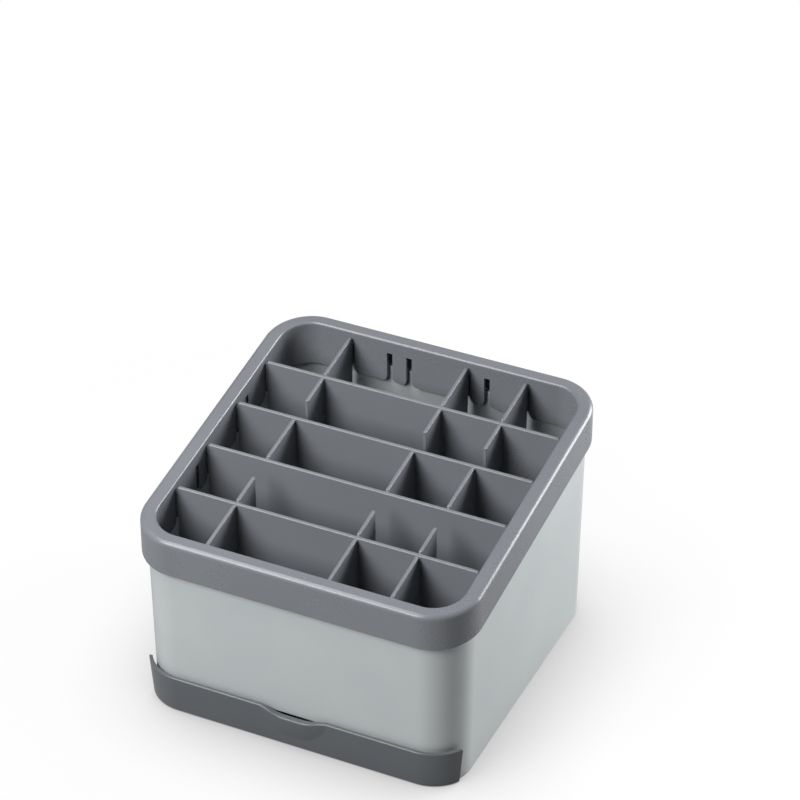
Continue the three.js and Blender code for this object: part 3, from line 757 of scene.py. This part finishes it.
def lip_radius(height):
    """How far the lip's outer face lies from the corner centres."""
    housing_radius = FOOT_RADIUS + HOUSING_DRAFT * OPENING_TOP
    return housing_radius + LIP_GAP + LIP_THICKNESS + (height - OPENING_TOP) * LIP_LEAN


def soft_rise(share):
    """Rises from nothing to one with the share, level at both ends."""
    return (1 - math.cos(math.pi * share)) / 2


def lip_section(dip, across):
    """The lip's section, as distance from the corner centre and height, its edge lowered by dip.

    Within half an ellipse under the edge it bulges outside and is hollowed a little less inside.
    Across is how far out in that ellipse the section lies, from nothing in its middle to one."""
    top = LIP_TOP - dip
    edge_height = top - LIP_EDGE_RADIUS
    foot_height = TABLE_GAP + LIP_FOOT_RADIUS

    def bulged(height, amount):
        share = 1 - across ** 2 - ((top - height) / PULL_DEPTH) ** 2
        return lip_radius(height) + amount * max(0, share)

    def outer(height):
        return bulged(height, PULL_BULGE)

    def inner(height):
        return bulged(height, PULL_HOLLOW) - LIP_THICKNESS

    levels = [foot_height + (edge_height - foot_height) * step / LIP_LEVELS
              for step in range(1, LIP_LEVELS)]
    return (
        [(inner(TABLE_GAP), TABLE_GAP)]
        + arc(outer(foot_height) - LIP_FOOT_RADIUS, foot_height, LIP_FOOT_RADIUS,
              -90, 0, LIP_ARC_STEPS)
        + [(outer(height), height) for height in levels]
        + arc(outer(edge_height) - LIP_EDGE_RADIUS, edge_height, LIP_EDGE_RADIUS,
              0, 90, LIP_ARC_STEPS)
        + [(inner(top), top)]
        + [(inner(height), height) for height in reversed(levels)]
    )


def lip_ring(base_x, angle, dip=0.0, across=1.0):
    """The lip's section stood up at a place along the lip, facing away at the angle."""
    return [Vector((base_x + reach * math.cos(angle), -CORNER_Y + reach * math.sin(angle), height))
            for reach, height in lip_section(dip, across)]


quarter_shares = [step / CORNER_STEPS for step in range(CORNER_STEPS + 1)]
lip_rings = [lip_ring(-CORNER_X, math.pi * (1 + share / 2)) for share in quarter_shares]
for step in range(PULL_STEPS + 1):
    along = step / PULL_STEPS
    shoulder = min(1, along / PULL_SHOULDER_SHARE, (1 - along) / PULL_SHOULDER_SHARE)
    lip_rings.append(lip_ring((along - 0.5) * PULL_WIDTH, -math.pi / 2,
                              soft_rise(shoulder) * PULL_DIP, abs(2 * along - 1)))
lip_rings += [lip_ring(CORNER_X, math.pi * (share - 1) / 2) for share in quarter_shares]

lip_end_y = OPENING_BACK_Y - SLIDE_GAP
return_front_y = lip_end_y - RETURN_THICKNESS
basin_radius = math.sqrt(inner_radius ** 2 - (CORNER_Y + OPENING_BACK_Y) ** 2) - SLIDE_GAP
basin_stretch = inner_radius - SLIDE_GAP - basin_radius
floor_top = TABLE_GAP + TRAY_FLOOR
floor_radius = lip_radius(TABLE_GAP) - (LIP_THICKNESS + LIP_FOOT_RADIUS) / 2
past_walls = TRAY_WALL_TOP + CUT_PAST
behind_lip = ((-FAR, lip_end_y, -HIGH), (FAR, FAR, HIGH))
before_basin = ((-FAR, -FAR, -HIGH), (FAR, return_front_y, HIGH))
at_returns = ((-FAR, return_front_y, -HIGH), (FAR, lip_end_y, HIGH))


def basin_ring(inset, height):
    """The basin is as wide as what passes the opening, and as long as the housing lets it be."""
    return [Vector((point.x, point.y + math.copysign(basin_stretch, point.y), height))
            for point in level_ring(basin_radius - inset, height)]


def middle_of_lip(height):
    """A ring in the middle of the lip's thickness."""
    return level_ring(lip_radius(height) - LIP_THICKNESS / 2, height)


tray_drawer = place("tray_drawer", skin(lip_rings))
combine(tray_drawer, block(*behind_lip), "DIFFERENCE")
front_floor = place("front_floor", skin([level_ring(floor_radius, TABLE_GAP),
                                         level_ring(floor_radius, floor_top)]))
combine(front_floor, block(*behind_lip), "DIFFERENCE")
basin = place("basin", skin([basin_ring(0, TABLE_GAP), basin_ring(0, TRAY_WALL_TOP)]))
combine(basin, skin([basin_ring(TRAY_WALL, floor_top), basin_ring(TRAY_WALL, past_walls)]),
        "DIFFERENCE")
combine(basin, block(*before_basin), "DIFFERENCE")
returns = place("returns", skin([middle_of_lip(TABLE_GAP), middle_of_lip(TRAY_WALL_TOP)]))
combine(returns, skin([basin_ring(TRAY_WALL / 2, BELOW_TABLE),
                       basin_ring(TRAY_WALL / 2, past_walls)]), "DIFFERENCE")
combine(returns, block(*at_returns), "INTERSECT")
for part in (front_floor, basin, returns):
    combine(tray_drawer, part.data, "UNION")
    bpy.data.objects.remove(part)
round_edges(tray_drawer, TRAY_EDGE_RADIUS, segments=2)
tray_plastic = moulded_polypropylene("satin dark grey polypropylene", TRAY_GREY, TRAY_GREY_DEEP,
                                     TRAY_ROUGHNESS, FINE_GRAIN_DEPTH)
dress(tray_drawer, tray_plastic, "tray", "drip_tray")


# Table and room
# A plain white floor, near the object a glow with a little lit matt, fading into the white room
# further out. A painted shadow dims the glow where the object closes it in. What it throws back on
# the object is dimmer than what the camera sees, as in a photograph with a cleared background.
FLOOR_REACH = 6
FADE_START = 160 * MM
FADE_END = 450 * MM
CLEARED_SHARE = 0.85
SHADOW_REACH = 65 * MM
SHADOW_FALLOFF = 1.4
SHADOW_SAMPLES = 16
CLEARED_WHITE = "FFFFFF"
FLOOR_GREY = "D9D9D9"
BOUNCE_GREY = "959595"
ROOM_GLOW = 0.04

floor_mesh = bmesh.new()
bmesh.ops.create_grid(floor_mesh, x_segments=1, y_segments=1, size=FLOOR_REACH)
white_floor = place("white_floor", bpy.data.meshes.new("white_floor"))
floor_mesh.to_mesh(white_floor.data)
floor_mesh.free()
paper = bpy.data.materials.new("white paper sweep")
paper.use_nodes = True
tree = paper.node_tree
tree.nodes.clear()
seen = add_node(tree, "ShaderNodeLightPath").outputs["Is Camera Ray"]
spot = add_node(tree, "ShaderNodeTexCoord").outputs["Object"]
distance = add_node(tree, "ShaderNodeVectorMath", {"operation": "LENGTH"}, {0: spot})
fade = add_node(tree, "ShaderNodeMapRange",
                {"interpolation_type": "SMOOTHSTEP", "From Min": FADE_START, "From Max": FADE_END,
                 "To Min": CLEARED_SHARE, "To Max": 1.0}, {"Value": distance.outputs["Value"]})
matt = add_node(tree, "ShaderNodeBsdfDiffuse", {"Color": linear(FLOOR_GREY)})
# Painted shadow: the floor's white glow is dimmed where ambient occlusion finds the object close
painted_shadow_openness = add_node(tree, "ShaderNodeAmbientOcclusion",
                      {"samples": SHADOW_SAMPLES, "Distance": SHADOW_REACH}).outputs["AO"]
hidden = add_node(tree, "ShaderNodeMath", {"operation": "SUBTRACT", 0: 1.0},
                  {1: painted_shadow_openness}).outputs[0]
softened = add_node(tree, "ShaderNodeMath", {"operation": "POWER", 1: SHADOW_FALLOFF},
                    {0: hidden}).outputs[0]
shade = add_node(tree, "ShaderNodeMath", {"operation": "SUBTRACT", 0: 1.0},
                 {1: softened}).outputs[0]
cleared = add_node(tree, "ShaderNodeEmission", {"Color": linear(CLEARED_WHITE)},
                   {"Strength": shade})
bright = add_node(tree, "ShaderNodeMixShader", {},
                  {0: fade.outputs["Result"], 1: matt.outputs[0], 2: cleared.outputs[0]})
dim = add_node(tree, "ShaderNodeBsdfDiffuse", {"Color": linear(BOUNCE_GREY)})
mixed = add_node(tree, "ShaderNodeMixShader", {},
                 {0: seen, 1: dim.outputs[0], 2: bright.outputs[0]})
add_node(tree, "ShaderNodeOutputMaterial", {}, {"Surface": mixed.outputs[0]})
white_floor.data.materials.append(paper)

room = bpy.data.worlds.new("white room")
room.use_nodes = True
tree = room.node_tree
tree.nodes.clear()
seen = add_node(tree, "ShaderNodeLightPath").outputs["Is Camera Ray"]
dim = add_node(tree, "ShaderNodeBackground",
               {"Color": linear(CLEARED_WHITE), "Strength": ROOM_GLOW})
white = add_node(tree, "ShaderNodeBackground", {"Color": linear(CLEARED_WHITE), "Strength": 1.0})
mixed = add_node(tree, "ShaderNodeMixShader", {},
                 {0: seen, 1: dim.outputs[0], 2: white.outputs[0]})
add_node(tree, "ShaderNodeOutputWorld", {}, {"Surface": mixed.outputs[0]})
bpy.context.scene.world = room


# Lamps and camera
# Large soft boxes at the front left and the back right leave the front right corner between them
# darker. A smaller one overhead draws the light lines along the rim's edges. The camera stands
# where the photograph's edges put it.
LAMP_AIM_HEIGHT = 70 * MM
SENSOR_WIDTH = 36
PICTURE_PIXELS = 800
FOCAL_PIXELS = 3269
CAMERA_AZIMUTH, CAMERA_ELEVATION = 25.0, 34.66
CAMERA_PLACE = (0.6284, -1.3081, 1.1735)


def direction(azimuth, elevation):
    """Out from the object, in degrees. Azimuth 0 is the front and 90 the right."""
    around, up = math.radians(azimuth), math.radians(elevation)
    return Vector((math.sin(around) * math.cos(up), -math.cos(around) * math.cos(up), math.sin(up)))


def soft_box(name, azimuth, elevation, distance, side, power):
    """A square soft box, facing the object's middle."""
    lamp = bpy.data.lights.new(name, "AREA")
    lamp.shape = "RECTANGLE"
    lamp.size = lamp.size_y = side
    lamp.energy = power
    holder = bpy.data.objects.new(name, lamp)
    out = direction(azimuth, elevation)
    holder.location = out * distance + Vector((0, 0, LAMP_AIM_HEIGHT))
    holder.rotation_mode = "QUATERNION"
    holder.rotation_quaternion = out.to_track_quat("Z", "Y")
    bpy.context.scene.collection.objects.link(holder)


soft_box("front left soft box", -26, 38, distance=1.15, side=0.6, power=12.8)
soft_box("back right soft box", 138, 20, distance=0.92, side=0.55, power=13.5)
soft_box("overhead soft box", -62, 66, distance=0.8, side=0.4, power=3.6)

camera = bpy.data.objects.new("camera", bpy.data.cameras.new("camera"))
camera.data.sensor_width = SENSOR_WIDTH
camera.data.lens = FOCAL_PIXELS / PICTURE_PIXELS * SENSOR_WIDTH
camera.data.clip_start = 0.1
camera.data.clip_end = 40
camera.location = CAMERA_PLACE
camera.rotation_mode = "QUATERNION"
camera.rotation_quaternion = (-direction(CAMERA_AZIMUTH, CAMERA_ELEVATION)).to_track_quat("-Z", "Y")
bpy.context.scene.collection.objects.link(camera)
bpy.context.scene.camera = camera
bpy.context.scene.view_settings.view_transform = "Standard"
